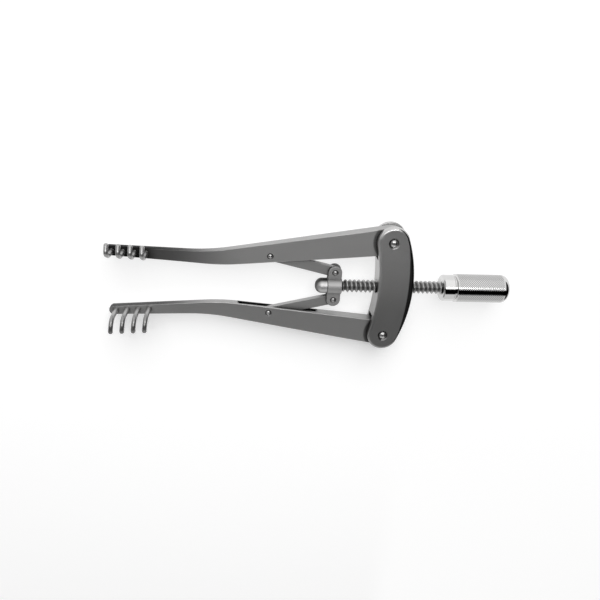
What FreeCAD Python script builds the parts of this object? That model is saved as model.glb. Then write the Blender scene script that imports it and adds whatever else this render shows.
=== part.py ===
import FreeCAD
import Part
import math
import os
from FreeCAD import Vector

# A self retaining retractor: two toothed arms hinge in the ends of a crescent yoke.
# A screw through the middle of the yoke pushes a block that spreads the arms with two links.
# Sizes are in millimetres and angles in degrees.
# The origin is the middle of the yoke's back face, on the line between the two arm pivots.
# X runs along the screw to the knob, Y across to the upper arm, and Z out of the front face,
# the way the teeth point. The lower side is the mirror image of the upper side.

# Yoke
yoke_thickness = 6.2
pivot_half_spacing = 12.3
yoke_end_radius = 3.9
yoke_inner_depth = 2.5
yoke_outer_depth = 6.3
yoke_edge_radius = 0.7
yoke_slot_relief = 1.4

# Clearances of the moving joints and of the brazed and riveted ones
running_clearance = 0.05
side_clearance = 0.07
braze_gap = 0.02

# Arms, measured from the pivot along the arm's own line. Their backs are flat.
arm_rest_angle = 9.35
arm_heel_radius = 3.45
arm_length = 67.8
arm_outer_taper = 0.53
arm_inner_taper = 3.65
arm_outer_bend_station = 43.9
arm_inner_bend_station = 41.5
arm_tip_outer_angle = 11.0
arm_tip_inner_angle = 13.2
arm_bend_radius = 50.0
arm_tip_corner_share = 0.45
arm_edge_radius = 0.22
arm_heel_thickness = 3.0
arm_tip_thickness = 1.6
arm_taper_start = 8.0
arm_taper_end = 50.0
arm_taper_blend_radius = 350.0

# Saw slot in each arm that takes the link
link_slot_station = 28.2
link_slot_saw_radius = 15.5
link_slot_floor_gap = 0.85

# Links. They lie mid-way through the arm's thickness at the link plane's station.
link_plane_station = 33.0
arm_link_pin_station = 29.6
link_length = 16.5
link_width = 2.6
link_thickness = 1.3
link_end_play = 1.25
link_side_play = 0.05
link_edge_radius = 0.15

# Block that carries the links on the end of the screw
block_pin_offset = 3.63
block_length = 3.6
block_barrel_radius = 2.15
block_ear_radius = 1.7
block_ear_thickness = 0.55
block_edge_radius = 0.2

# Screw, end cap and knob
screw_radius = 1.65
screw_length = 25.45
neck_radius = 1.2
tail_radius = 1.3
tail_length = 8.0
thrust_clearance = 0.05
cap_radius = 1.9
cap_length = 2.9
cap_dome_length = 1.5
cap_socket_depth = 1.5
collar_radius = 3.4
collar_length = 2.9
collar_edge_radius = 0.6
groove_depth = 0.35
groove_width = 0.45
grip_radius = 3.65
grip_length = 13.9
grip_end_radius = 1.7
grip_shoulder = 0.25
knob_mouth_depth = 0.5

# Rivet pins, each with a domed end in a dimple
yoke_pin_radius = 1.0
link_pin_radius = 0.6
dome_height_share = 0.4
dome_proud_share = 0.25
dimple_width_share = 1.38
dimple_depth_share = 0.4

# Teeth, brazed into the arm tips
teeth_per_arm = 4
tooth_radius = 0.55
tooth_pitch = 2.63
tooth_end_margin = 1.65
tooth_straight_height = 3.5
tooth_hook_radius = 2.3
tooth_hook_angle = 112.0
tooth_turn_angle = 9.0
braze_collar_radius = 0.85
braze_collar_height = 0.28


# The arm's back is flat, and its front comes down toward the tip
def arm_thickness(station):
    share = (station - arm_taper_start) / (arm_taper_end - arm_taper_start)
    share = min(1, max(0, share))
    return arm_heel_thickness + share * (arm_tip_thickness - arm_heel_thickness)


# Values that follow from the driving dimensions
mid_plane = yoke_thickness / 2
arm_back = mid_plane - arm_heel_thickness / 2
link_plane = arm_back + arm_thickness(link_plane_station) / 2
link_slot_thickness = link_thickness + 2 * side_clearance
arm_slot_thickness = arm_heel_thickness + 2 * side_clearance
yoke_slot_floor = pivot_half_spacing - arm_heel_radius - yoke_slot_relief
link_slot_floor = link_width / 2 + link_slot_floor_gap
block_half_thickness = link_slot_thickness / 2 + block_ear_thickness


def arm_pin_position():
    turn = math.radians(arm_rest_angle)
    x = -arm_link_pin_station * math.cos(turn)
    y = pivot_half_spacing - arm_link_pin_station * math.sin(turn)
    return Vector(x, y, 0)


def block_pin_position():
    arm_pin = arm_pin_position()
    rise = arm_pin.y - block_pin_offset
    return Vector(arm_pin.x + math.sqrt(link_length ** 2 - rise ** 2), block_pin_offset, 0)


def link_rest_angle():
    arm_pin = arm_pin_position()
    return math.degrees(math.asin((arm_pin.y - block_pin_offset) / link_length))


block_x = block_pin_position().x
block_front_x = block_x - block_length / 2
block_rear_x = block_x + block_length / 2
knob_x = block_rear_x + thrust_clearance + screw_length


# Straight runs joined by tangent arcs, one radius for each inner point, and 0 for a sharp corner
def rounded_run(points, radii):
    edges = []
    start = points[0]
    for before, corner, after, radius in zip(points, points[1:], points[2:], radii):
        if radius == 0:
            edges.append(Part.makeLine(start, corner))
            start = corner
            continue
        to_before = (before - corner).normalize()
        to_after = (after - corner).normalize()
        half_angle = to_before.getAngle(to_after) / 2
        reach = radius / math.tan(half_angle)
        arc_start = corner + to_before * reach
        arc_end = corner + to_after * reach
        middle_way = (to_before + to_after).normalize()
        arc_middle = corner + middle_way * (radius / math.sin(half_angle) - radius)
        edges.append(Part.makeLine(start, arc_start))
        edges.append(Part.Arc(arc_start, arc_middle, arc_end).toShape())
        start = arc_end
    edges.append(Part.makeLine(start, points[-1]))
    return edges


def plate(edges, bottom, top):
    outline = Part.Wire(Part.__sortEdges__(edges))
    face = Part.Face(outline)
    face.translate(Vector(0, 0, bottom))
    return face.extrude(Vector(0, 0, top - bottom))


def rod(radius, start_x, end_x):
    return Part.makeCylinder(radius, end_x - start_x, Vector(start_x, 0, 0), Vector(1, 0, 0))


def upright_rod(radius, centre, bottom, top):
    return Part.makeCylinder(radius, top - bottom, Vector(centre.x, centre.y, bottom), Vector(0, 0, 1))


def block_of(low, high):
    size = high - low
    return Part.makeBox(size.x, size.y, size.z, low)


def mirrored(shape):
    return shape.mirror(Vector(0, 0, 0), Vector(0, 1, 0))


# Rounds every edge that lies flat at the front or back of a plate
def with_rounded_rims(shape, radius):
    rims = []
    for edge in shape.Edges:
        first, last = edge.ParameterRange
        direction = edge.tangentAt((first + last) / 2)
        if abs(direction.z) < 0.5:
            rims.append(edge)
    return shape.makeFillet(radius, rims)


# A pin through a wall, lying along Z, with a dome at each end
def rivet_pin(radius, centre, back_face, front_face, back_proud, front_proud):
    dome = dome_height_share * radius
    front = front_face + front_proud
    back = back_face - back_proud
    sphere_radius = (radius ** 2 + dome ** 2) / (2 * dome)
    angle = math.asin(radius / sphere_radius) / 2
    side = sphere_radius * math.sin(angle)
    drop = sphere_radius * (1 - math.cos(angle))
    axis_front = Vector(0, 0, front)
    axis_back = Vector(0, 0, back)
    rim_front = Vector(radius, 0, front - dome)
    rim_back = Vector(radius, 0, back + dome)
    edges = [
        Part.Arc(axis_front, Vector(side, 0, front - drop), rim_front).toShape(),
        Part.makeLine(rim_front, rim_back),
        Part.Arc(rim_back, Vector(side, 0, back + drop), axis_back).toShape(),
        Part.makeLine(axis_back, axis_front),
    ]
    pin = Part.Face(Part.Wire(edges)).revolve(Vector(0, 0, 0), Vector(0, 0, 1), 360)
    pin.translate(Vector(centre.x, centre.y, 0))
    return Part.makeSolid(pin.Shells[0])


# The hole for a pin, with a dimple where it meets each face
def rivet_hole(hole_radius, pin_radius, centre, back_face, front_face):
    depth = dimple_depth_share * pin_radius
    mouth = dimple_width_share * pin_radius
    hole = upright_rod(hole_radius, centre, back_face - depth, front_face + depth)
    slope = (mouth - pin_radius) / depth
    wide = mouth + slope * depth
    front_start = Vector(centre.x, centre.y, front_face - depth)
    back_start = Vector(centre.x, centre.y, back_face + depth)
    front = Part.makeCone(pin_radius, wide, 2 * depth, front_start, Vector(0, 0, 1))
    back = Part.makeCone(pin_radius, wide, 2 * depth, back_start, Vector(0, 0, -1))
    return [hole, front, back]


# Crescent yoke: two arcs, tangent to a round end about each pivot
def yoke_outline():
    reach = pivot_half_spacing ** 2
    end = yoke_end_radius
    outer = (reach + yoke_outer_depth ** 2 - end ** 2) / (2 * (yoke_outer_depth - end))
    inner = (reach + yoke_inner_depth ** 2 - end ** 2) / (2 * (end - yoke_inner_depth))
    outer_centre = Vector(yoke_outer_depth - outer, 0, 0)
    inner_centre = Vector(-yoke_inner_depth - inner, 0, 0)
    pivot = Vector(0, pivot_half_spacing, 0)
    outer_touch = pivot + (pivot - outer_centre).normalize() * end
    inner_touch = pivot + (inner_centre - pivot).normalize() * end
    tip = pivot + Vector(0, end, 0)
    flip = FreeCAD.Matrix(1, 0, 0, 0, 0, -1, 0, 0, 0, 0, 1, 0, 0, 0, 0, 1)
    upper_end = Part.Arc(outer_touch, tip, inner_touch).toShape()
    lower_end = Part.Arc(flip * outer_touch, flip * tip, flip * inner_touch).toShape()
    outer_arc = Part.Arc(outer_touch, Vector(yoke_outer_depth, 0, 0), flip * outer_touch).toShape()
    inner_arc = Part.Arc(inner_touch, Vector(-yoke_inner_depth, 0, 0), flip * inner_touch).toShape()
    return [upper_end, outer_arc, lower_end, inner_arc]


def make_yoke():
    body = with_rounded_rims(plate(yoke_outline(), 0, yoke_thickness), yoke_edge_radius)
    pivot = Vector(0, pivot_half_spacing, 0)
    reach = pivot_half_spacing + 2 * yoke_end_radius
    half_slot = arm_slot_thickness / 2
    low = Vector(-reach, yoke_slot_floor, mid_plane - half_slot)
    high = Vector(reach, reach, mid_plane + half_slot)
    slot = block_of(low, high)
    cuts = [slot] + rivet_hole(yoke_pin_radius, yoke_pin_radius, pivot, 0, yoke_thickness)
    cuts += [mirrored(cut) for cut in cuts]
    screw_bore = rod(screw_radius + running_clearance, -reach, reach)
    screw_bore.translate(Vector(0, 0, mid_plane))
    return body.cut(cuts + [screw_bore])


# The back ends of the yoke pins stay below the back face, which lies flat on a table
def make_yoke_pin():
    pivot = Vector(0, pivot_half_spacing, 0)
    proud = dome_proud_share * yoke_pin_radius
    sunk = -braze_gap
    return rivet_pin(yoke_pin_radius, pivot, 0, yoke_thickness, sunk, proud)


# A point on an arm before it is turned to its rest angle, from the pivot toward the tip
def on_arm(station, offset):
    return Vector(-station, pivot_half_spacing + offset, 0)


def turned_to_rest(shape):
    pivot = Vector(0, pivot_half_spacing, 0)
    shape.rotate(pivot, Vector(0, 0, 1), arm_rest_angle)
    return shape


def arm_edge_lines():
    outer = math.radians(arm_outer_taper)
    inner = math.radians(arm_inner_taper)
    outer_start = (arm_heel_radius * math.sin(outer), arm_heel_radius * math.cos(outer))
    inner_start = (arm_heel_radius * math.sin(inner), -arm_heel_radius * math.cos(inner))
    outer_bend = outer_start[1] - (arm_outer_bend_station - outer_start[0]) * math.tan(outer)
    inner_bend = inner_start[1] + (arm_inner_bend_station - inner_start[0]) * math.tan(inner)
    outer_run = arm_length - arm_outer_bend_station
    inner_run = arm_length - arm_inner_bend_station
    outer_tip = outer_bend + outer_run * math.tan(math.radians(arm_tip_outer_angle))
    inner_tip = inner_bend + inner_run * math.tan(math.radians(arm_tip_inner_angle))
    outer_line = [outer_start, (arm_outer_bend_station, outer_bend), (arm_length, outer_tip)]
    inner_line = [inner_start, (arm_inner_bend_station, inner_bend), (arm_length, inner_tip)]
    return outer_line, inner_line


# Middle of the tip between its two edges, and the slope of that middle line
def tip_middle(station):
    outer_line, inner_line = arm_edge_lines()
    outer_slope = math.tan(math.radians(arm_tip_outer_angle))
    inner_slope = math.tan(math.radians(arm_tip_inner_angle))
    back = arm_length - station
    outer = outer_line[-1][1] - back * outer_slope
    inner = inner_line[-1][1] - back * inner_slope
    return (outer + inner) / 2


def tip_angle():
    return (arm_tip_outer_angle + arm_tip_inner_angle) / 2


def arm_outline():
    outer_line, inner_line = arm_edge_lines()
    path = [on_arm(*place) for place in outer_line] + [on_arm(*place) for place in reversed(inner_line)]
    corner = arm_tip_corner_share * (outer_line[-1][1] - inner_line[-1][1])
    run = rounded_run(path, [arm_bend_radius, corner, corner, arm_bend_radius])
    heel = Part.Arc(path[-1], on_arm(-arm_heel_radius, 0), path[0]).toShape()
    return run + [heel]


# The arm seen from its side: full thickness at the heel, tapering to the tip
def arm_side_profile():
    start = -2 * arm_heel_radius
    end = arm_length + arm_heel_radius
    stations = [start, arm_taper_start, arm_taper_end, end]
    front = [Vector(-station, 0, arm_back + arm_thickness(station)) for station in stations]
    back = [Vector(-end, 0, arm_back), Vector(-start, 0, arm_back)]
    edges = rounded_run(front, [arm_taper_blend_radius] * 2)
    edges.append(Part.makeLine(front[-1], back[0]))
    edges.append(Part.makeLine(back[0], back[1]))
    edges.append(Part.makeLine(back[1], front[0]))
    face = Part.Face(Part.Wire(Part.__sortEdges__(edges)))
    width = 4 * pivot_half_spacing
    face.translate(Vector(0, pivot_half_spacing - width / 2, 0))
    return face.extrude(Vector(0, width, 0))


def tooth_place(number):
    along = arm_length - tooth_end_margin - number * tooth_pitch * math.cos(math.radians(tip_angle()))
    return on_arm(along, tip_middle(along))


def make_arm():
    slab = plate(arm_outline(), mid_plane - arm_heel_thickness, mid_plane + arm_heel_thickness)
    body = with_rounded_rims(slab.common(arm_side_profile()), arm_edge_radius)
    pivot_hole = yoke_pin_radius + running_clearance
    cuts = [upright_rod(pivot_hole, on_arm(0, 0), 0, yoke_thickness)]
    saw_centre = on_arm(link_slot_station, link_slot_floor - link_slot_saw_radius)
    half_slot = link_slot_thickness / 2
    cuts.append(upright_rod(link_slot_saw_radius, saw_centre, link_plane - half_slot, link_plane + half_slot))
    pin_centre = on_arm(arm_link_pin_station, 0)
    front = arm_back + arm_thickness(arm_link_pin_station)
    cuts += rivet_hole(link_pin_radius, link_pin_radius, pin_centre, arm_back, front)
    for number in range(teeth_per_arm):
        cuts.append(upright_rod(tooth_radius + braze_gap, tooth_place(number), 0, yoke_thickness))
    return turned_to_rest(body.cut(cuts))


def make_arm_link_pin():
    front = arm_back + arm_thickness(arm_link_pin_station)
    proud = dome_proud_share * link_pin_radius
    centre = on_arm(arm_link_pin_station, 0)
    pin = rivet_pin(link_pin_radius, centre, arm_back, front, proud, proud)
    return turned_to_rest(pin)


# A round wire hook: a shank through the arm, a bend outward and a blunt round end
def make_tooth(number):
    foot = tooth_place(number)
    front = arm_back + arm_tip_thickness
    bend_start = front + tooth_straight_height
    shank = upright_rod(tooth_radius, foot, arm_back, bend_start)
    along_tip = Vector(-1, 0, 0)
    section = Part.Face(Part.Wire(Part.makeCircle(tooth_radius, Vector(foot.x, foot.y, bend_start))))
    hook_centre = Vector(foot.x, foot.y + tooth_hook_radius, bend_start)
    hook = section.revolve(hook_centre, along_tip, tooth_hook_angle)
    turn = math.radians(tooth_hook_angle)
    end = hook_centre + Vector(0, -math.cos(turn), math.sin(turn)) * tooth_hook_radius
    blunt_end = Part.makeSphere(tooth_radius, end)
    collar = Part.makeCone(braze_collar_radius, tooth_radius, braze_collar_height,
                           Vector(foot.x, foot.y, front), Vector(0, 0, 1))
    tooth = shank.fuse([hook, blunt_end, collar]).removeSplitter()
    tooth.rotate(foot, Vector(0, 0, 1), tooth_turn_angle - tip_angle())
    return turned_to_rest(tooth)


# A flat bar with round ends. The hole at the arm's end is long, so that the bar can slide on its pin.
def make_link():
    half = link_width / 2
    far = -link_length - link_end_play
    edges = [
        Part.makeLine(Vector(0, half, 0), Vector(far, half, 0)),
        Part.Arc(Vector(far, half, 0), Vector(far - half, 0, 0), Vector(far, -half, 0)).toShape(),
        Part.makeLine(Vector(far, -half, 0), Vector(0, -half, 0)),
        Part.Arc(Vector(0, -half, 0), Vector(half, 0, 0), Vector(0, half, 0)).toShape(),
    ]
    bottom = link_plane - link_thickness / 2
    top = link_plane + link_thickness / 2
    bar = with_rounded_rims(plate(edges, bottom, top), link_edge_radius)
    hole = link_pin_radius + running_clearance
    long_hole = hole + link_side_play
    near = -link_length
    cuts = [upright_rod(hole, Vector(0, 0, 0), 0, yoke_thickness)]
    cuts.append(upright_rod(long_hole, Vector(near, link_side_play, 0), 0, yoke_thickness))
    cuts.append(upright_rod(long_hole, Vector(far, link_side_play, 0), 0, yoke_thickness))
    low = Vector(far, link_side_play - long_hole, 0)
    high = Vector(near, link_side_play + long_hole, yoke_thickness)
    cuts.append(block_of(low, high))
    link = bar.cut(cuts)
    link.rotate(Vector(0, 0, 0), Vector(0, 0, 1), -link_rest_angle())
    link.translate(Vector(block_x, block_pin_offset, 0))
    return link


# Ears above and below a barrel, each split to take the end of a link
def make_block():
    width = block_ear_radius
    reach = block_pin_offset
    upper_start = Vector(block_x + width, reach, 0)
    upper_end = Vector(block_x - width, reach, 0)
    lower_start = Vector(block_x - width, -reach, 0)
    lower_end = Vector(block_x + width, -reach, 0)
    edges = [
        Part.Arc(upper_start, Vector(block_x, reach + width, 0), upper_end).toShape(),
        Part.makeLine(upper_end, lower_start),
        Part.Arc(lower_start, Vector(block_x, -reach - width, 0), lower_end).toShape(),
        Part.makeLine(lower_end, upper_start),
    ]
    back = link_plane - block_half_thickness
    front = link_plane + block_half_thickness
    ears = with_rounded_rims(plate(edges, back, front), block_edge_radius)
    barrel = rod(block_barrel_radius, block_front_x, block_rear_x)
    barrel = barrel.makeFillet(block_edge_radius, [e for e in barrel.Edges if e.Length > block_length])
    barrel.translate(Vector(0, 0, mid_plane))
    floor = block_pin_offset - link_width / 2 - 2 * side_clearance
    half_gap = link_slot_thickness / 2
    far = 2 * block_pin_offset + block_ear_radius
    low = Vector(block_x - far, floor, link_plane - half_gap)
    high = Vector(block_x + far, far, link_plane + half_gap)
    pin = Vector(block_x, block_pin_offset, 0)
    cuts = [block_of(low, high)] + rivet_hole(link_pin_radius, link_pin_radius, pin, back, front)
    cuts += [mirrored(cut) for cut in cuts]
    bore = rod(neck_radius + running_clearance, block_front_x - block_length, block_rear_x + block_length)
    bore.translate(Vector(0, 0, mid_plane))
    return ears.fuse(barrel).cut(cuts + [bore])


def make_block_pin():
    centre = Vector(block_x, block_pin_offset, 0)
    proud = dome_proud_share * link_pin_radius
    back = link_plane - block_half_thickness
    front = link_plane + block_half_thickness
    return rivet_pin(link_pin_radius, centre, back, front, proud, proud)


# Shapes turned about the screw's line are drawn with X along it and Y as the radius
def turned(edges):
    face = Part.Face(Part.Wire(Part.__sortEdges__(edges)))
    body = face.revolve(Vector(0, 0, 0), Vector(1, 0, 0), 360)
    body = Part.makeSolid(body.Shells[0])
    body.translate(Vector(0, 0, mid_plane))
    return body


def make_screw():
    neck_start = block_front_x - thrust_clearance - cap_socket_depth
    thread_start = block_rear_x + thrust_clearance
    neck = rod(neck_radius, neck_start, thread_start)
    thread = rod(screw_radius, thread_start, knob_x)
    tail = rod(tail_radius, knob_x, knob_x + tail_length)
    screw = neck.fuse([thread, tail])
    screw.translate(Vector(0, 0, mid_plane))
    return screw


def make_end_cap():
    rear = block_front_x - thrust_clearance
    nose = rear - cap_length
    dome_start = nose + cap_dome_length
    steep = math.radians(45)
    dome_middle = Vector(dome_start - cap_dome_length * math.sin(steep), cap_radius * math.cos(steep), 0)
    edges = [
        Part.Arc(Vector(nose, 0, 0), dome_middle, Vector(dome_start, cap_radius, 0)).toShape(),
        Part.makeLine(Vector(dome_start, cap_radius, 0), Vector(rear, cap_radius, 0)),
        Part.makeLine(Vector(rear, cap_radius, 0), Vector(rear, 0, 0)),
        Part.makeLine(Vector(rear, 0, 0), Vector(nose, 0, 0)),
    ]
    socket = rod(neck_radius, rear - cap_socket_depth, rear)
    socket.translate(Vector(0, 0, mid_plane))
    return turned(edges).cut(socket)


def make_knob():
    groove_start = knob_x + collar_length
    groove_end = groove_start + groove_width
    groove_radius = collar_radius - groove_depth
    end = groove_end + grip_length
    grip_start = groove_end + grip_shoulder
    path = [
        Vector(knob_x, 0, 0),
        Vector(knob_x, collar_radius, 0),
        Vector(groove_start, collar_radius, 0),
        Vector(groove_start, groove_radius, 0),
        Vector(groove_end, groove_radius, 0),
        Vector(groove_end, grip_radius - grip_shoulder, 0),
        Vector(grip_start, grip_radius, 0),
        Vector(end, grip_radius, 0),
        Vector(end, 0, 0),
    ]
    radii = [collar_edge_radius, 0, 0, 0, 0, 0, grip_end_radius]
    edges = rounded_run(path, radii)
    edges.append(Part.makeLine(path[-1], path[0]))
    socket = rod(tail_radius, knob_x, knob_x + tail_length)
    mouth = Part.makeCone(tail_radius + knob_mouth_depth, tail_radius, knob_mouth_depth,
                          Vector(knob_x, 0, 0), Vector(1, 0, 0))
    hollow = socket.fuse(mouth)
    hollow.translate(Vector(0, 0, mid_plane))
    return turned(edges).cut(hollow)


def save(name, shape):
    shape.exportStep("parts/" + name + ".step")
    print(name, "solids", len(shape.Solids), "valid", shape.isValid(), "volume", round(shape.Volume, 2))


def save_both_sides(name, upper):
    save("upper_" + name, upper)
    save("lower_" + name, mirrored(upper))


os.makedirs("parts", exist_ok=True)
save("yoke", make_yoke())
save_both_sides("yoke_pin", make_yoke_pin())
save_both_sides("arm", make_arm())
for number in range(teeth_per_arm):
    save_both_sides("tooth_" + str(number + 1), make_tooth(number))
save_both_sides("arm_link_pin", make_arm_link_pin())
save_both_sides("link", make_link())
save_both_sides("block_pin", make_block_pin())
save("screw_block", make_block())
save("screw", make_screw())
save("screw_end_cap", make_end_cap())
save("knob", make_knob())
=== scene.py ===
import bpy, bmesh, math
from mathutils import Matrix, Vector


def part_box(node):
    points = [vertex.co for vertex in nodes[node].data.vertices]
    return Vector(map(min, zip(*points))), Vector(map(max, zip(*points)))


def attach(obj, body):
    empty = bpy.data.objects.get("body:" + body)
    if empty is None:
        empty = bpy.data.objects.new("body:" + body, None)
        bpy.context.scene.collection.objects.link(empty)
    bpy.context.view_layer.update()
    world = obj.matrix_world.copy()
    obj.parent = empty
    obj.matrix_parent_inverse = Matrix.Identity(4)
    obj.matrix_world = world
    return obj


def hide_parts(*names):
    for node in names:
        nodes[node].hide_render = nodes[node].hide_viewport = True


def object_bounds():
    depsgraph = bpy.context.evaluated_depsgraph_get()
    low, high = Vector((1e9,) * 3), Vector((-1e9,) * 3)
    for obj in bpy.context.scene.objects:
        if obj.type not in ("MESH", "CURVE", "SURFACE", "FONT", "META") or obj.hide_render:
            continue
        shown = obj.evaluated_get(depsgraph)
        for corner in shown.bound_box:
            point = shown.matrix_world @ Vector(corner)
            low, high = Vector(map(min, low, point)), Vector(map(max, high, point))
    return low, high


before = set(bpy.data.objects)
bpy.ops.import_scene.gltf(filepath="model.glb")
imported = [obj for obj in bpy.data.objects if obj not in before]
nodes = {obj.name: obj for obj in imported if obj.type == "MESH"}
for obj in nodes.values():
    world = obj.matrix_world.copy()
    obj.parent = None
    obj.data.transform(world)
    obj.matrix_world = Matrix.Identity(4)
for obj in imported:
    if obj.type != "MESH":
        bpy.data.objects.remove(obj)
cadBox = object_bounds()
mm = 0.001  # the sizes in the dictionaries are in mm, Blender's are in metres
scene = bpy.context.scene
print("frame loaded,", len(nodes), "nodes")


def link(name, data):
    obj = bpy.data.objects.new(name, data)
    scene.collection.objects.link(obj)
    return obj


def plug(tree, socket, value):  # an output is linked to the socket, anything else is set on it
    if isinstance(value, bpy.types.NodeSocket):
        tree.links.new(value, socket)
    else:
        socket.default_value = value


def addNode(tree, kind, plugs=None, **settings):
    node = tree.nodes.new(kind)
    for key, value in settings.items():
        setattr(node, key, value)
    for label, value in (plugs or {}).items():
        plug(tree, node.inputs[label], value)
    return node


def calc(tree, operation, *values):
    return addNode(tree, "ShaderNodeMath", dict(enumerate(values)), operation=operation).outputs[0]


def times(tree, result, *factors):
    for factor in factors:
        result = calc(tree, "MULTIPLY", result, factor)
    return result


def restOf(tree, share):  # what a share leaves of 1
    return calc(tree, "SUBTRACT", 1.0, share)


def distance(tree, a, b):
    return calc(tree, "SQRT", calc(tree, "ADD", times(tree, a, a), times(tree, b, b)))


def fade(tree, value, start, end, low=0.0, high=1.0):  # eases from low to high between start and end
    plugs = {"Value": value, "From Min": start, "From Max": end, "To Min": low, "To Max": high}
    return addNode(tree, "ShaderNodeMapRange", plugs, interpolation_type="SMOOTHSTEP").outputs[0]


def splitUp(tree, place):
    return addNode(tree, "ShaderNodeSeparateXYZ", {0: place}).outputs


def vector(tree, **parts):  # the parts that aren't given stay 0
    return addNode(tree, "ShaderNodeCombineXYZ", parts).outputs[0]


# camera, placed from the photo's outline of the part
camera = {
    "place": (-34.35, 53.76, 129.94),
    "turn": (-23.389, -4.877, 3.338),
    "lens": 33.61,
    "sensor": 36,
    "shift": (-0.0083, -0.0217),
    "clip": (5, 10000),
}


def makeCamera(c):
    data = bpy.data.cameras.new("camera")
    data.lens = c["lens"]
    data.sensor_width = c["sensor"]
    data.shift_x, data.shift_y = c["shift"]
    data.clip_start, data.clip_end = [v * mm for v in c["clip"]]
    obj = link("camera", data)
    obj.location = [v * mm for v in c["place"]]
    obj.rotation_euler = [math.radians(v) for v in c["turn"]]
    scene.camera = obj


makeCamera(camera)
print("camera placed")

# pale floor, two soft boxes and a white room with a dark strip overhead
studio = {
    "floorHalf": 3000,
    "floorDrop": 0.6,      # under the lowest point
    "floorWhite": 0.84,
    "floorGlow": 0.335,    # the light of its own that keeps the floor white
    "shadowLiftShare": 0.55,    # painted light: more white where the floor's shadows are lifted, between the arms and past the upper one
    "shadowLiftStart": -13,
    "shadowLiftFull": -5,
    "knobShadowLiftStart": 6,   # and beside the knob
    "knobShadowLiftFull": 16,
    # soft boxes in metres, watts and degrees from straight up toward +Y; the side one draws the shadows
    "key": {"power": 0.7, "length": 0.5, "width": 0.05, "lean": 22, "distance": 0.6},
    "side": {"power": 3.0, "length": 0.5, "width": 0.5, "lean": 52, "distance": 0.6},
    "bounce": 0.55,        # the share of the room's light that falls on the floor
    "farSide": 1.2,        # the room's brightness toward +Y
    "nearSide": 0.8,       # and toward -Y
    "stripStart": -41,     # the leans, in degrees, between which the room is dark
    "stripDark": -32,
    "stripLight": 6,
    "stripEnd": 13,
    "endStart": 0.47,      # how far toward the ends of the screw's line the room goes darker
    "endFull": 0.62,
    "knobEndLight": 0.03,  # what is left of its light at the knob's end
    "tipEndLight": 0.5,    # and at the tips' end
}


def makeFloor(s):
    lift = cadBox[0].z - s["floorDrop"] * mm
    half = s["floorHalf"] * mm
    mesh = bpy.data.meshes.new("floor")
    corners = [(-half, -half, lift), (half, -half, lift), (half, half, lift), (-half, half, lift)]
    mesh.from_pydata(corners, [], [(0, 1, 2, 3)])
    floor = link("floor", mesh)
    mat = bpy.data.materials.new("paleFloor")
    mat.use_nodes = True
    tree = mat.node_tree
    tree.nodes.clear()
    path = addNode(tree, "ShaderNodeLightPath").outputs
    seen = calc(tree, "MAXIMUM", path["Is Camera Ray"], path["Is Glossy Ray"])  # seen, or mirrored in the metal
    white = s["floorWhite"]
    plain = addNode(tree, "ShaderNodeBsdfDiffuse", {"Color": (white, white, white, 1)})
    glow = addNode(tree, "ShaderNodeEmission", {"Strength": times(tree, seen, s["floorGlow"])})
    both = addNode(tree, "ShaderNodeAddShader", {0: plain.outputs[0], 1: glow.outputs[0]})
    at = splitUp(tree, addNode(tree, "ShaderNodeTexCoord").outputs["Object"])
    # painted light on the floor: plain white lifts its shadows between the arms and beside the knob
    byArms = fade(tree, at["Y"], s["shadowLiftStart"] * mm, s["shadowLiftFull"] * mm, 0.0, s["shadowLiftShare"])
    byKnob = fade(tree, at["X"], s["knobShadowLiftStart"] * mm, s["knobShadowLiftFull"] * mm, 0.0, s["shadowLiftShare"])
    clear = times(tree, seen, calc(tree, "MAXIMUM", byArms, byKnob))
    bright = addNode(tree, "ShaderNodeEmission")
    mixed = addNode(tree, "ShaderNodeMixShader", {0: clear, 1: both.outputs[0], 2: bright.outputs[0]})
    addNode(tree, "ShaderNodeOutputMaterial", {0: mixed.outputs[0]})
    mesh.materials.append(mat)


def softBox(name, s):
    lean = math.radians(s["lean"])
    data = bpy.data.lights.new(name, "AREA")
    data.shape = "RECTANGLE"
    data.energy, data.size, data.size_y = s["power"], s["length"], s["width"]
    box = link(name, data)
    box.location = Vector((0.0, math.sin(lean), math.cos(lean))) * s["distance"]
    box.rotation_euler = (-lean, 0, 0)
    return box


def makeRoom(s):
    world = bpy.data.worlds.new("room")
    scene.world = world
    world.use_nodes = True
    tree = world.node_tree
    toward = splitUp(tree, addNode(tree, "ShaderNodeTexCoord").outputs["Generated"])
    lean = calc(tree, "ARCTAN2", toward["Y"], toward["Z"])
    near = fade(tree, lean, math.radians(s["stripStart"]), math.radians(s["stripDark"]), s["nearSide"], 0.0)
    far = fade(tree, lean, math.radians(s["stripLight"]), math.radians(s["stripEnd"]), 0.0, s["farSide"])
    knobEnd = fade(tree, toward["X"], s["endStart"], s["endFull"], 1.0, s["knobEndLight"])
    tipEnd = fade(tree, toward["X"], -s["endStart"], -s["endFull"], 1.0, s["tipEndLight"])
    onFloor = addNode(tree, "ShaderNodeLightPath").outputs["Is Diffuse Ray"]
    bounce = restOf(tree, times(tree, onFloor, 1 - s["bounce"]))
    sky = tree.nodes["Background"]
    sky.inputs["Color"].default_value = (1, 1, 1, 1)
    plug(tree, sky.inputs["Strength"], times(tree, calc(tree, "ADD", near, far), knobEnd, tipEnd, bounce))


makeFloor(studio)
softBox("key", studio["key"])
softBox("side", studio["side"]).visible_glossy = False
makeRoom(studio)
print("floor and lights made")

axisHeight = 3.1  # of the screw's line over the yoke's back
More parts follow.
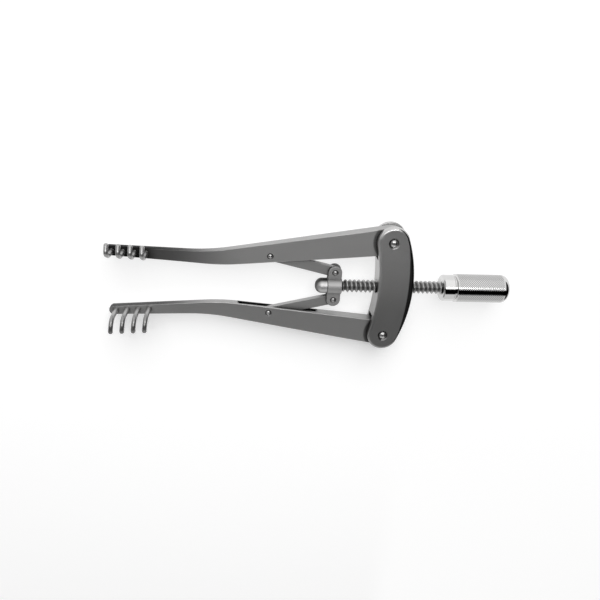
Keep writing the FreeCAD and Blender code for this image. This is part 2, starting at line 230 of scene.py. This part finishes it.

# metals. Every look has a grey, the brightness shown, a roughness, a fine grain with its bump, and a cloud.
# Some have more: a corner shade is painted shade in the corners within a span, polish brightens worn edges of a
# width, rim is the roughness of rounded edges, a side shade is painted shade on the sides that turn down, a
# groove shade is how dark the knurl's grooves are painted
satinYokeLook = {
    "grey": 0.365, "rough": 0.42,
    "grain": 0.05, "grainScale": 3200, "bump": 0.12, "cloud": 0.06, "cloudScale": 130,
    "polish": 0.04, "edge": 0.22, "cornerShade": 0.85, "corner": (0.1, 0.85), "rim": 0.22,
}
upperArmLook = {
    "grey": 0.47, "rough": 0.54,
    "grain": 0.05, "grainScale": 3200, "bump": 0.12, "cloud": 0.05, "cloudScale": 110,
    "polish": 0.03, "edge": 0.15, "cornerShade": 0.9, "corner": (0.4, 0.95),
}
lowerArmLook = dict(upperArmLook, grey=0.45, rough=0.48)
linkLook = dict(upperArmLook, grey=0.45, rough=0.52)
blockLook = {
    "grey": 0.50, "rough": 0.58,
    "grain": 0.05, "grainScale": 3600, "bump": 0.10, "cloud": 0.06, "cloudScale": 200,
    "polish": 0.08, "edge": 0.12, "cornerShade": 0.75, "corner": (0.3, 0.9), "outline": 0.5,
}
capLook = dict(blockLook, grey=0.66, rough=0.5, outline=0.15)
screwLook = {
    "grey": 0.56, "rough": 0.42,
    "grain": 0.06, "grainScale": 4200, "bump": 0.08, "cloud": 0.10, "cloudScale": 260,
    "cornerShade": 0.5, "corner": (0.1, 0.85),
}
pinLook = {
    "grey": 0.55, "rough": 0.32,
    "grain": 0.04, "grainScale": 4200, "bump": 0.05, "cloud": 0.06, "cloudScale": 300,
    "cornerShade": 0.9, "corner": (0.1, 0.85),
}
toothLook = {
    "grey": 0.44, "rough": 0.38,
    "grain": 0.05, "grainScale": 4200, "bump": 0.06, "cloud": 0.12, "cloudScale": 240,
    "cornerShade": 0.7, "corner": (0.1, 0.85),
}
knobLook = {
    "grey": 0.67, "rough": 0.07,
    "grain": 0.03, "grainScale": 4200, "bump": 0.03, "cloud": 0.03, "cloudScale": 160,
    "knurlGrooveShade": 0.6,
}

# what all the metals share; most spans are of how far a face is turned, 1 being flat to the front or the back
anyMetal = {
    "tint": {"Red": 1.0, "Green": 0.995, "Blue": 0.99},
    "grainDetail": 3, "cloudDetail": 4, "cloudRough": 0.6,
    "roughShare": 0.5,     # of the unevenness that shows in the roughness
    "grainRelief": 0.05,
    "cornerReach": 1.5, "cornerSamples": 8, "edgeSamples": 4,
    "wornSpan": (0.995, 0.9),
    "outlineSpan": (0.4, 0.9),
    "rimSpan": (0.995, 0.96), "wallSpan": (0.03, 0.15),
    "knobSideSpan": (-0.25, 0.05),   # of its turn to the knob's side
}

# painted light and shade in the steel, as shares of its grey: first is at the start and last at the end, both
# in mm
paintedShadingSize = {
    # painted light: the yoke's face lighter toward its +Y end and darker toward -Y
    "yokePaintedLightAlong": {"axis": "Y", "start": -11, "end": 9, "first": 0.86, "last": 1.6},
    # painted shade: the upper arm darker toward its tip, and darker still between the teeth
    "upperTipPaintedShade": {"axis": "X", "start": -34, "end": -56, "first": 1.0, "last": 0.3},
    "upperTipEndPaintedShade": {"axis": "X", "start": -55, "end": -60, "first": 1.0, "last": 0.22},
    # painted shade: the lower teeth darker toward their tops and toward their outer ends
    "lowerToothTopPaintedShade": {"axis": "Z", "start": 5.8, "end": 8.4, "first": 1.1, "last": 0.75},
    "lowerToothEndPaintedShade": {"axis": "Y", "start": -9.4, "end": -11.4, "first": 1.0, "last": 0.55},
    # painted shade on the narrow sides of both arms toward the teeth
    "tipWallsPaintedShade": {"start": -41, "end": -56, "last": 0.2, "wallSpan": (0.98, 0.8)},
    # painted shade in the roots of the thread
    "threadRootPaintedShade": {"start": 1.12, "end": 1.5, "first": 0.3},
    # painted shade on the yoke's outer rounded edge, outside a circle
    "yokeEdgePaintedShade": {
        "x": -54.8, "y": 0, "start": 59.6, "end": 59.9, "first": 1.0, "last": 0.1, "front": (0.0, 0.25),
    },
    # painted shade on the arms' faces around the pivot, beside the yoke's rounded end
    "besideYokePaintedShade": {
        "x": 0, "y": 12.3, "start": 4.5, "end": 5.0, "first": 0.4, "last": 1.0, "front": (0.5, 0.75),
    },
    # painted light on the level floor of the yoke's slots
    "yokeSlotFloorPaintedLight": {"middle": 1.56, "half": 0.08, "tipEnd": -40, "level": 0.9, "share": 1.7},
    # painted shade on the level faces in the arms' slots for the links
    "armSlotPaintedShade": {"middle": 2.683, "half": 0.74, "tipEnd": -40, "level": 0.9, "share": 0.12},
}


def paintedShadingAlong(tree, at, turned, s):  # painted light and shade that drift along an axis
    return fade(tree, at[s["axis"]], s["start"] * mm, s["end"] * mm, s["first"], s["last"])


def paintedShadeOnWalls(tree, at, turned, s):  # painted shade, darker toward the brazed teeth, on the narrow sides alone
    wall = fade(tree, calc(tree, "ABSOLUTE", turned["Z"]), *s["wallSpan"])
    dark = fade(tree, at["X"], s["start"] * mm, s["end"] * mm, 0.0, 1 - s["last"])
    return restOf(tree, times(tree, wall, dark))


def paintedShadeByScrewLine(tree, at, turned, s):  # painted shade near the screw's line, at the root of the thread
    z = calc(tree, "SUBTRACT", at["Z"], axisHeight * mm)
    return fade(tree, distance(tree, at["Y"], z), s["start"] * mm, s["end"] * mm, s["first"], 1.0)


def paintedShadeByCircle(tree, at, turned, s):  # painted shade inside or outside a circle, on the faces turned to the front
    x = calc(tree, "SUBTRACT", at["X"], s["x"] * mm)
    y = calc(tree, "SUBTRACT", calc(tree, "ABSOLUTE", at["Y"]), s["y"] * mm)
    shading = fade(tree, distance(tree, x, y), s["start"] * mm, s["end"] * mm, s["first"], s["last"])
    high = calc(tree, "GREATER_THAN", at["Z"], axisHeight * mm)
    return restOf(tree, times(tree, fade(tree, turned["Z"], *s["front"]), high, restOf(tree, shading)))


def paintedShadingInSlot(tree, at, turned, s):  # painted light and shade on the level faces inside a slot
    off = calc(tree, "ABSOLUTE", calc(tree, "SUBTRACT", at["Z"], s["middle"] * mm))
    within = calc(tree, "LESS_THAN", off, s["half"] * mm)
    knobSide = calc(tree, "GREATER_THAN", at["X"], s["tipEnd"] * mm)
    level = calc(tree, "GREATER_THAN", calc(tree, "ABSOLUTE", turned["Z"]), s["level"])
    return restOf(tree, times(tree, within, knobSide, level, 1 - s["share"]))


def noise(tree, where, scale, detail, rough=0.5):
    plugs = {"Vector": where, "Scale": scale, "Detail": detail, "Roughness": rough}
    return addNode(tree, "ShaderNodeTexNoise", plugs).outputs["Fac"]


def swing(tree, share, amount):  # turns a share of 0 to 1 into -amount to amount
    return times(tree, calc(tree, "SUBTRACT", share, 0.5), 2 * amount)


def steel(name, look, *shadings):  # each painted shading is a function and the name of its sizes
    a = anyMetal
    mat = bpy.data.materials.new(name)
    mat.use_nodes = True
    tree = mat.node_tree
    where = addNode(tree, "ShaderNodeTexCoord").outputs["Object"]
    normal = addNode(tree, "ShaderNodeNewGeometry").outputs["Normal"]
    at, turned = splitUp(tree, where), splitUp(tree, normal)
    facing = calc(tree, "ABSOLUTE", turned["Z"])
    grain = noise(tree, where, look["grainScale"], a["grainDetail"])
    cloud = noise(tree, where, look["cloudScale"], a["cloudDetail"], a["cloudRough"])
    uneven = calc(tree, "ADD", swing(tree, grain, look["grain"]), swing(tree, cloud, look["cloud"]))
    grey = times(tree, calc(tree, "ADD", uneven, 1.0), look["grey"])
    rough = calc(tree, "ADD", times(tree, uneven, a["roughShare"]), look["rough"])
    for shading, sizes in shadings:
        grey = times(tree, grey, shading(tree, at, turned, paintedShadingSize[sizes]))
    # painted shade in the knurl's grooves
    if "knurlGrooveShade" in look:
        groove = addNode(tree, "ShaderNodeAttribute", attribute_name="knurlGroove").outputs["Fac"]
        grey = times(tree, grey, restOf(tree, times(tree, groove, look["knurlGrooveShade"])))
    if "cornerShade" in look:  # painted shade in the corners
        reach = {"Distance": a["cornerReach"] * mm}
        corner = addNode(tree, "ShaderNodeAmbientOcclusion", reach, samples=a["cornerSamples"])
        grey = times(tree, grey, fade(tree, corner.outputs["AO"], *look["corner"], 1 - look["cornerShade"], 1.0))
    # painted shade on the sides that turn down from the front
    if "outline" in look:
        grey = times(tree, grey, fade(tree, facing, *a["outlineSpan"], look["outline"], 1.0))
    if "rim" in look:
        rounded = times(tree, fade(tree, facing, *a["rimSpan"]), fade(tree, facing, *a["wallSpan"]),
                        fade(tree, turned["X"], *a["knobSideSpan"]))
        rough = calc(tree, "ADD", rough, times(tree, rounded, look["rim"] - look["rough"]))
    if "polish" in look:  # handling brightens the sharp edges
        bevel = addNode(tree, "ShaderNodeBevel", {"Radius": look["edge"] * mm}, samples=a["edgeSamples"])
        plugs = {0: bevel.outputs[0], 1: normal}
        same = addNode(tree, "ShaderNodeVectorMath", plugs, operation="DOT_PRODUCT").outputs["Value"]
        worn = fade(tree, same, *a["wornSpan"], 0.0, look["polish"])
        grey = calc(tree, "ADD", grey, worn)
        rough = calc(tree, "SUBTRACT", rough, worn)
    tinted = {channel: times(tree, grey, tint) for channel, tint in a["tint"].items()}
    plugs = {"Strength": look["bump"], "Distance": a["grainRelief"] * mm, "Height": grain}
    bump = addNode(tree, "ShaderNodeBump", plugs)
    shader = tree.nodes["Principled BSDF"]
    shader.inputs["Metallic"].default_value = 1.0
    plug(tree, shader.inputs["Base Color"], addNode(tree, "ShaderNodeCombineColor", tinted).outputs[0])
    plug(tree, shader.inputs["Roughness"], rough)
    plug(tree, shader.inputs["Normal"], bump.outputs[0])
    return mat


# the painted light and shade laid on each steel
yokeShading = [(paintedShadingAlong, "yokePaintedLightAlong"), (paintedShadeByCircle, "yokeEdgePaintedShade"), (paintedShadingInSlot, "yokeSlotFloorPaintedLight")]
armShading = [(paintedShadeOnWalls, "tipWallsPaintedShade"), (paintedShadeByCircle, "besideYokePaintedShade"), (paintedShadingInSlot, "armSlotPaintedShade")]
yokeSteel = steel("yokeSteel", satinYokeLook, *yokeShading)
upperShading = [(paintedShadingAlong, "upperTipPaintedShade"), (paintedShadingAlong, "upperTipEndPaintedShade")]
upperArmSteel = steel("upperArmSteel", upperArmLook, *upperShading, *armShading)
lowerArmSteel = steel("lowerArmSteel", lowerArmLook, *armShading)
linkSteel = steel("linkSteel", linkLook)
blockSteel = steel("blockSteel", blockLook)
capSteel = steel("capSteel", capLook)
screwSteel = steel("screwSteel", screwLook, (paintedShadeByScrewLine, "threadRootPaintedShade"))
pinSteel = steel("pinSteel", pinLook)
upperToothSteel = steel("upperToothSteel", toothLook)
hookShading = [(paintedShadingAlong, "lowerToothTopPaintedShade"), (paintedShadingAlong, "lowerToothEndPaintedShade")]
lowerToothSteel = steel("lowerToothSteel", toothLook, *hookShading)
knobSteel = steel("knobSteel", knobLook)
nodeMetals = {
    "yoke": yokeSteel, "upper_arm": upperArmSteel, "lower_arm": lowerArmSteel,
    "upper_link": linkSteel, "lower_link": linkSteel, "screw_block": blockSteel,
    "screw_end_cap": capSteel, "screw": screwSteel, "knob": knobSteel,
}
for name, node in nodes.items():
    node.data.materials.clear()
    node.data.materials.append(nodeMetals.get(name, pinSteel))
print("metals assigned")


def faceOut(bm, mesh):  # turns the faces outward and keeps the mesh
    bmesh.ops.recalc_face_normals(bm, faces=bm.faces)
    bm.to_mesh(mesh)
    bm.free()


def lathe(name, profile, segments):  # profile of (x, radius) turned about the screw's line
    mesh = bpy.data.meshes.new(name)
    bm = bmesh.new()
    rings = []
    for x, radius in profile:
        if radius == 0:
            rings.append([bm.verts.new((x * mm, 0, axisHeight * mm))] * segments)
            continue
        ring = []
        for k in range(segments):
            angle = 2 * math.pi * k / segments
            y, z = radius * mm * math.cos(angle), (axisHeight + radius * math.sin(angle)) * mm
            ring.append(bm.verts.new((x * mm, y, z)))
        rings.append(ring)
    for first, second in zip(rings, rings[1:]):
        for k in range(segments):
            corners = [first[k], second[k], second[(k + 1) % segments], first[(k + 1) % segments]]
            bm.faces.new(list(dict.fromkeys(corners)))
    for face in bm.faces:
        face.smooth = True
    faceOut(bm, mesh)
    return mesh


def newTree(name, sizes):  # a node tree with one named input for each size
    tree = bpy.data.node_groups.new(name, "GeometryNodeTree")
    tree.interface.new_socket("Geometry", in_out="INPUT", socket_type="NodeSocketGeometry")
    for label, value in sizes.items():
        kind = "NodeSocketInt" if isinstance(value, int) else "NodeSocketFloat"
        tree.interface.new_socket(label, in_out="INPUT", socket_type=kind)
    tree.interface.new_socket("Geometry", in_out="OUTPUT", socket_type="NodeSocketGeometry")
    return tree, addNode(tree, "NodeGroupInput").outputs


def finishTree(tree, shape, metal):
    smooth = addNode(tree, "GeometryNodeSetShadeSmooth", {"Geometry": shape})
    real = addNode(tree, "GeometryNodeRealizeInstances", {0: smooth.outputs[0]})
    paint = addNode(tree, "GeometryNodeSetMaterial", {0: real.outputs[0], "Material": metal})
    addNode(tree, "NodeGroupOutput", {0: paint.outputs[0]})


def grow(name, mesh, tree, sizes):  # runs the tree on a mesh and keeps the result as a plain mesh
    obj = link(name, mesh)
    modifier = obj.modifiers.new("grow", "NODES")
    modifier.node_group = tree
    for item in tree.interface.items_tree:
        if item.in_out == "INPUT" and item.name in sizes:
            modifier[item.identifier] = sizes[item.name]
    bpy.context.view_layer.update()
    grown = bpy.data.meshes.new_from_object(obj.evaluated_get(bpy.context.evaluated_depsgraph_get()))
    obj.modifiers.clear()
    obj.data = grown
    return obj


tiny = 1e-6  # metres, under what a mesh shows


def aroundScrew(tree, given):  # a point's place along the screw, its two distances from the line and its turn
    at = splitUp(tree, addNode(tree, "GeometryNodeInputPosition").outputs[0])
    z = calc(tree, "SUBTRACT", at["Z"], given["Axis Height"])
    turn = calc(tree, "DIVIDE", calc(tree, "ARCTAN2", z, at["Y"]), 2 * math.pi)
    return at["X"], at["Y"], z, turn


def pushOut(tree, given, shape, x, y, z, amount):  # moves a point away from the screw's line
    radius = calc(tree, "MAXIMUM", distance(tree, y, z), tiny)
    grown = calc(tree, "ADD", calc(tree, "DIVIDE", amount, radius), 1.0)
    height = calc(tree, "ADD", times(tree, z, grown), given["Axis Height"])
    place = vector(tree, X=x, Y=times(tree, y, grown), Z=height)
    return addNode(tree, "GeometryNodeSetPosition", {"Geometry": shape, "Position": place}).outputs[0]


# screw: a round thread with a plain neck in the block and a tail in the knob
screwSize = {
    "neckStart": -16.5, "neckRadius": 1.2, "neckStep": 0.01,
    "threadStart": -11.31, "threadEnd": 14.15, "crestRadius": 1.65, "rootRadius": 1.07,
    "tailEnd": 22.1, "tailRadius": 1.3, "tailStep": 0.02,
    "pitch": 1.135, "runOut": 0.7, "rings": 380, "segments": 64,
}


def makeScrew(s):
    start, end = s["threadStart"], s["threadEnd"]
    neck = s["neckRadius"]
    profile = [(s["neckStart"], 0), (s["neckStart"], neck), (start - s["neckStep"], neck)]
    profile += [(start + (end - start) * k / s["rings"], s["rootRadius"]) for k in range(s["rings"] + 1)]
    profile += [(end + s["tailStep"], s["tailRadius"]), (s["tailEnd"], s["tailRadius"]), (s["tailEnd"], 0)]
    sizes = {
        "Axis Height": axisHeight * mm, "Pitch": s["pitch"] * mm,
        "Depth": (s["crestRadius"] - s["rootRadius"]) * mm,
        "Start": start * mm, "End": end * mm, "Run Out": s["runOut"] * mm,
    }
    tree, given = newTree("roundThread", sizes)
    x, y, z, turn = aroundScrew(tree, given)
    phase = calc(tree, "SUBTRACT", calc(tree, "DIVIDE", x, given["Pitch"]), turn)
    wave = calc(tree, "COSINE", times(tree, phase, 2 * math.pi))
    ridge = calc(tree, "ADD", times(tree, wave, 0.5), 0.5)
    rise = fade(tree, x, given["Start"], calc(tree, "ADD", given["Start"], given["Run Out"]))
    inside = calc(tree, "LESS_THAN", x, calc(tree, "ADD", given["End"], tiny))
    amount = times(tree, ridge, given["Depth"], rise, inside)
    finishTree(tree, pushOut(tree, given, given["Geometry"], x, y, z, amount), screwSteel)
    screw = grow("threadedScrew", lathe("threadedScrew", profile, s["segments"]), tree, sizes)
    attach(screw, "screw_body")
    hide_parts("screw")


makeScrew(screwSize)
print("screw threaded")

# knob: collar, fine groove and a grip with a fine diamond knurl
knobSize = {
    "start": 14.135, "mouthRadius": 1.8, "mouthDepth": 0.5, "socketRadius": 1.3, "socketDepth": 2.0,
    "collarLength": 2.9, "collarRadius": 3.34, "collarRound": 0.6, "collarRoundSteps": 8,
    "chamfer": 0.08, "chamferHold": 0.12,   # a hold is a ring of points close by that keeps an edge crisp
    "grooveWidth": 0.45, "grooveRadius": 3.0, "grooveHold": 0.02,
    "gripLength": 13.9, "gripRadius": 3.58, "shoulder": 0.2, "endRound": 1.65, "endRoundSteps": 12,
    "knurlCount": 42, "knurlDepth": 0.011, "knurlShare": 0.3, "knurlFade": 0.3, "knurlStep": 0.0595,
    "segments": 378,
}


def quarter(x, r, radius, startAngle, steps):  # points on a quarter round about (x, r)
    points = []
    for k in range(steps + 1):
        angle = math.radians(startAngle - 90 * k / steps)
        points.append((x + radius * math.cos(angle), r + radius * math.sin(angle)))
    return points


def makeKnob(s):
    start, top, low, rounding = s["start"], s["collarRadius"], s["grooveRadius"], s["collarRound"]
    mouthEnd = start + s["mouthDepth"]
    socketEnd = mouthEnd + s["socketDepth"]
    collarEnd = start + s["collarLength"]
    gripStart = collarEnd + s["grooveWidth"]
    gripEnd = gripStart + s["gripLength"]
    knurlStart, knurlEnd = gripStart + s["shoulder"], gripEnd - s["endRound"]
    steps = round((knurlEnd - knurlStart) / s["knurlStep"])
    chamfer, chamferHold, hold = s["chamfer"], s["chamferHold"], s["grooveHold"]
    profile = [(socketEnd, 0), (socketEnd, s["socketRadius"]), (mouthEnd, s["socketRadius"])]
    profile += [(start, s["mouthRadius"])]
    profile += quarter(start + rounding, top - rounding, rounding, 180, s["collarRoundSteps"])
    profile += [(collarEnd - chamferHold, top), (collarEnd - chamfer, top)]
    profile += [(collarEnd, top - chamfer), (collarEnd, top - chamferHold), (collarEnd, low + hold)]
    profile += [(collarEnd + hold, low), (gripStart - hold, low), (gripStart, low + hold)]
    profile += [(gripStart, s["gripRadius"] - s["shoulder"])]
    profile += [(knurlStart + (knurlEnd - knurlStart) * k / steps, s["gripRadius"]) for k in range(steps + 1)]
    profile += quarter(knurlEnd, s["gripRadius"] - s["endRound"], s["endRound"], 90, s["endRoundSteps"])[1:]
    profile += [(gripEnd, 0)]
    sizes = {
        "Axis Height": axisHeight * mm, "Count": s["knurlCount"], "Grip Radius": s["gripRadius"] * mm,
        "Depth": s["knurlDepth"] * mm, "Groove Share": s["knurlShare"],
        "Start": knurlStart * mm, "End": knurlEnd * mm, "Fade": s["knurlFade"] * mm,
    }
    tree, given = newTree("diamondKnurl", sizes)
    x, y, z, turn = aroundScrew(tree, given)
    pitch = calc(tree, "DIVIDE", times(tree, given["Grip Radius"], 2 * math.pi), given["Count"])
    around = times(tree, turn, given["Count"])
    along = calc(tree, "DIVIDE", x, pitch)
    grooves = []
    for side in ("ADD", "SUBTRACT"):
        phase = calc(tree, side, around, along)
        away = calc(tree, "ABSOLUTE", calc(tree, "SUBTRACT", phase, calc(tree, "ROUND", phase)))
        grooves.append(fade(tree, away, 0.0, given["Groove Share"], 1.0, 0.0))
    rise = fade(tree, x, given["Start"], calc(tree, "ADD", given["Start"], given["Fade"]))
    fall = fade(tree, x, calc(tree, "SUBTRACT", given["End"], given["Fade"]), given["End"], 1.0, 0.0)
    cut = times(tree, calc(tree, "MAXIMUM", *grooves), rise, fall)
    plugs = {"Geometry": given["Geometry"], "Name": "knurlGroove", "Value": cut}
    kept = addNode(tree, "GeometryNodeStoreNamedAttribute", plugs, data_type="FLOAT", domain="POINT")
    amount = times(tree, cut, given["Depth"], -1.0)
    finishTree(tree, pushOut(tree, given, kept.outputs[0], x, y, z, amount), knobSteel)
    knob = grow("knurledKnob", lathe("knurledKnob", profile, s["segments"]), tree, sizes)
    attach(knob, "screw_body")
    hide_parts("knob")


makeKnob(knobSize)
print("knob knurled")

# teeth: round wire hooks along the arm tips, from the arm's back up, over and outward to a blunt end
toothSize = {
    "count": 4, "wire": 0.55, "armBack": 1.6, "armFace": 3.2,
    "firstFoot": (-66.2736, 7.6414), "lastFoot": (-58.3926, 7.2623),
    "upperRoute": [(0, 3.3), (0.75, 4.8), (1.4, 5.25), (3.4, 4.25)],  # outward and up from the arm's face
    "lowerRoute": [(0, 4.3), (0.7, 5.1), (1.7, 5.5), (2.7, 5.6), (3.7, 5.3)],
    "upperBend": 0.9, "lowerBend": 1.2,
    "upperTurn": -1.5, "lowerTurn": 6.5,  # degrees toward the tip
    "filletWidth": 0.12, "filletHeight": 0.18,  # of the braze round each foot
    "bendSteps": 14, "steps": 110, "sides": 20,
    "bluntEnd": 0.002,  # keeps the last ring from closing to a point
}


def makeTeeth(s, arm, side, metal):
    name = arm + "Teeth"
    route = [(0, s["armBack"] - s["armFace"])] + s[arm + "Route"]
    line = bpy.data.meshes.new(name)
    points = [(0, side * out * mm, (up + s["armFace"]) * mm) for out, up in route]
    line.from_pydata(points, [(k, k + 1) for k in range(len(points) - 1)], [])
    sizes = {
        "Count": s["count"], "Wire Radius": s["wire"] * mm, "Bend Radius": s[arm + "Bend"] * mm,
        "Turn": side * math.radians(s[arm + "Turn"]), "Face": (s["armFace"] - s["armBack"]) * mm,
        "Fillet Width": s["filletWidth"] * mm, "Fillet Height": s["filletHeight"] * mm,
    }
    tree, given = newTree(name, sizes)
    curve = addNode(tree, "GeometryNodeMeshToCurve", {0: given["Geometry"]}).outputs[0]
    plugs = {"Curve": curve, "Radius": given["Bend Radius"], "Count": s["bendSteps"]}
    bend = addNode(tree, "GeometryNodeFilletCurve", plugs, mode="POLY").outputs[0]
    even = addNode(tree, "GeometryNodeResampleCurve", {"Curve": bend, "Count": s["steps"]}).outputs[0]
    whole = addNode(tree, "GeometryNodeCurveLength", {0: even}).outputs[0]
    along = addNode(tree, "GeometryNodeSplineParameter").outputs["Length"]
    left = calc(tree, "DIVIDE", calc(tree, "SUBTRACT", whole, along), given["Wire Radius"])
    short = restOf(tree, calc(tree, "MINIMUM", left, 1.0))
    blunt = calc(tree, "SQRT", calc(tree, "SUBTRACT", 1 + s["bluntEnd"], times(tree, short, short)))
    fromFace = calc(tree, "ABSOLUTE", calc(tree, "SUBTRACT", along, given["Face"]))
    fillet = fade(tree, fromFace, 0.0, given["Fillet Height"], given["Fillet Width"], 0.0)
    radius = calc(tree, "ADD", times(tree, blunt, given["Wire Radius"]), fillet)
    plugs = {"Resolution": s["sides"], "Radius": 1.0}
    circle = addNode(tree, "GeometryNodeCurvePrimitiveCircle", plugs, mode="RADIUS").outputs[0]
    plugs = {"Curve": even, "Profile Curve": circle, "Scale": radius, "Fill Caps": True}
    wire = addNode(tree, "GeometryNodeCurveToMesh", plugs).outputs[0]
    (x0, y0), (x1, y1) = s["firstFoot"], s["lastFoot"]
    gaps = s["count"] - 1
    plugs = {
        "Count": given["Count"], "Start Location": (x0 * mm, side * y0 * mm, 0),
        "Offset": ((x1 - x0) / gaps * mm, side * (y1 - y0) / gaps * mm, 0),
    }
    feet = addNode(tree, "GeometryNodeMeshLine", plugs, mode="OFFSET").outputs[0]
    plugs = {"Points": feet, "Instance": wire, "Rotation": vector(tree, Z=given["Turn"])}
    finishTree(tree, addNode(tree, "GeometryNodeInstanceOnPoints", plugs).outputs[0], metal)
    teeth = grow(name, line, tree, sizes)
    bm = bmesh.new()
    bm.from_mesh(teeth.data)
    faceOut(bm, teeth.data)
    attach(teeth, arm + "_arm_body")
    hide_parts(*[arm + "_tooth_" + str(k + 1) for k in range(s["count"])])


makeTeeth(toothSize, "upper", 1, upperToothSteel)
makeTeeth(toothSize, "lower", -1, lowerToothSteel)
print("teeth bent")

# rivets: a round dome at each end of the shank, each in its dimple
rivetSize = {
    "yoke": {"radius": 0.98, "rise": 0.62, "back": 0.02, "front": 6.45},
    "arm": {"radius": 0.585, "rise": 0.37, "back": 1.45, "front": 4.03},
    "block": {"radius": 0.585, "rise": 0.37, "back": 1.263, "front": 4.103},
    "segments": 40, "rings": 20,
}


def middleOf(node):
    low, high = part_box(node)
    return (low.x + high.x) / 2, (low.y + high.y) / 2, 0


def makeRivets(s, kind, name, body, cadNodes):
    points = bpy.data.meshes.new(name)
    points.from_pydata([middleOf(node) for node in cadNodes], [], [])
    sizes = {label.capitalize(): size * mm for label, size in s[kind].items()}
    tree, given = newTree(name, sizes)
    plugs = {"Segments": s["segments"], "Rings": s["rings"], "Radius": 1.0}
    ball = addNode(tree, "GeometryNodeMeshUVSphere", plugs).outputs[0]
    size = vector(tree, X=given["Radius"], Y=given["Radius"], Z=given["Rise"])
    low = calc(tree, "ADD", given["Back"], given["Rise"])
    high = calc(tree, "SUBTRACT", given["Front"], given["Rise"])
    middle = times(tree, calc(tree, "ADD", high, low), 0.5)
    height = calc(tree, "SUBTRACT", high, low)
    plugs = {"Vertices": s["segments"], "Radius": given["Radius"], "Depth": height}
    shank = addNode(tree, "GeometryNodeMeshCylinder", plugs).outputs[0]
    join = addNode(tree, "GeometryNodeJoinGeometry")
    for part, lift, scale in ((ball, low, size), (ball, high, size), (shank, middle, (1, 1, 1))):
        plugs = {"Geometry": part, "Translation": vector(tree, Z=lift), "Scale": scale}
        plug(tree, join.inputs[0], addNode(tree, "GeometryNodeTransform", plugs).outputs[0])
    plugs = {"Points": given["Geometry"], "Instance": join.outputs[0]}
    finishTree(tree, addNode(tree, "GeometryNodeInstanceOnPoints", plugs).outputs[0], pinSteel)
    rivets = grow(name, points, tree, sizes)
    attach(rivets, body)
    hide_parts(*cadNodes)


for place in ("yoke", "block"):
    pins = ["upper_" + place + "_pin", "lower_" + place + "_pin"]
    makeRivets(rivetSize, place, place + "Rivets", place + "_body", pins)
for arm in ("upper", "lower"):
    makeRivets(rivetSize, "arm", arm + "ArmRivet", arm + "_arm_body", [arm + "_arm_link_pin"])
print("rivets set")

scene.view_settings.view_transform = "Standard"
